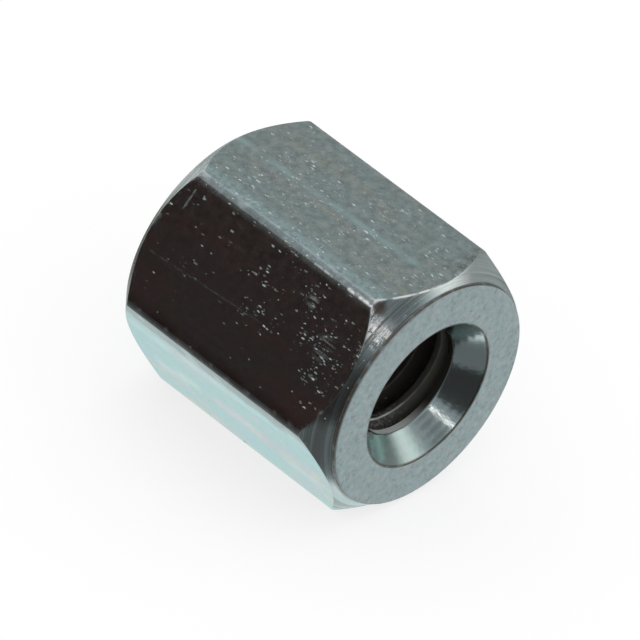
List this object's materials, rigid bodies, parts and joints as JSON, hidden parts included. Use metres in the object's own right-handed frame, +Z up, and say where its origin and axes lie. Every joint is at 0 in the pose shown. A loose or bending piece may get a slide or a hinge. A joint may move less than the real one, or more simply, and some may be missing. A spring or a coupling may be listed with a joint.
{
  "type": "hex standoff",
  "caption": "Short hexagonal standoff of plated steel, threaded right through, with a countersink, a flat bearing ring and a turned chamfer at each end.",
  "frame": {"origin": "on the resting flat, under the middle of the pillar", "axes": "+X along the thread axis, +Z up, square to the resting flat"},
  "size_m": [0.0078, 0.008, 0.007],
  "materials": {
    "plated_steel": "bright zinc plate with a faint blue passivation, drawn flats and turned ends"
  },
  "bodies": {
    "root": {"standoff_body": "plated_steel"}
  },
  "joints": []
}
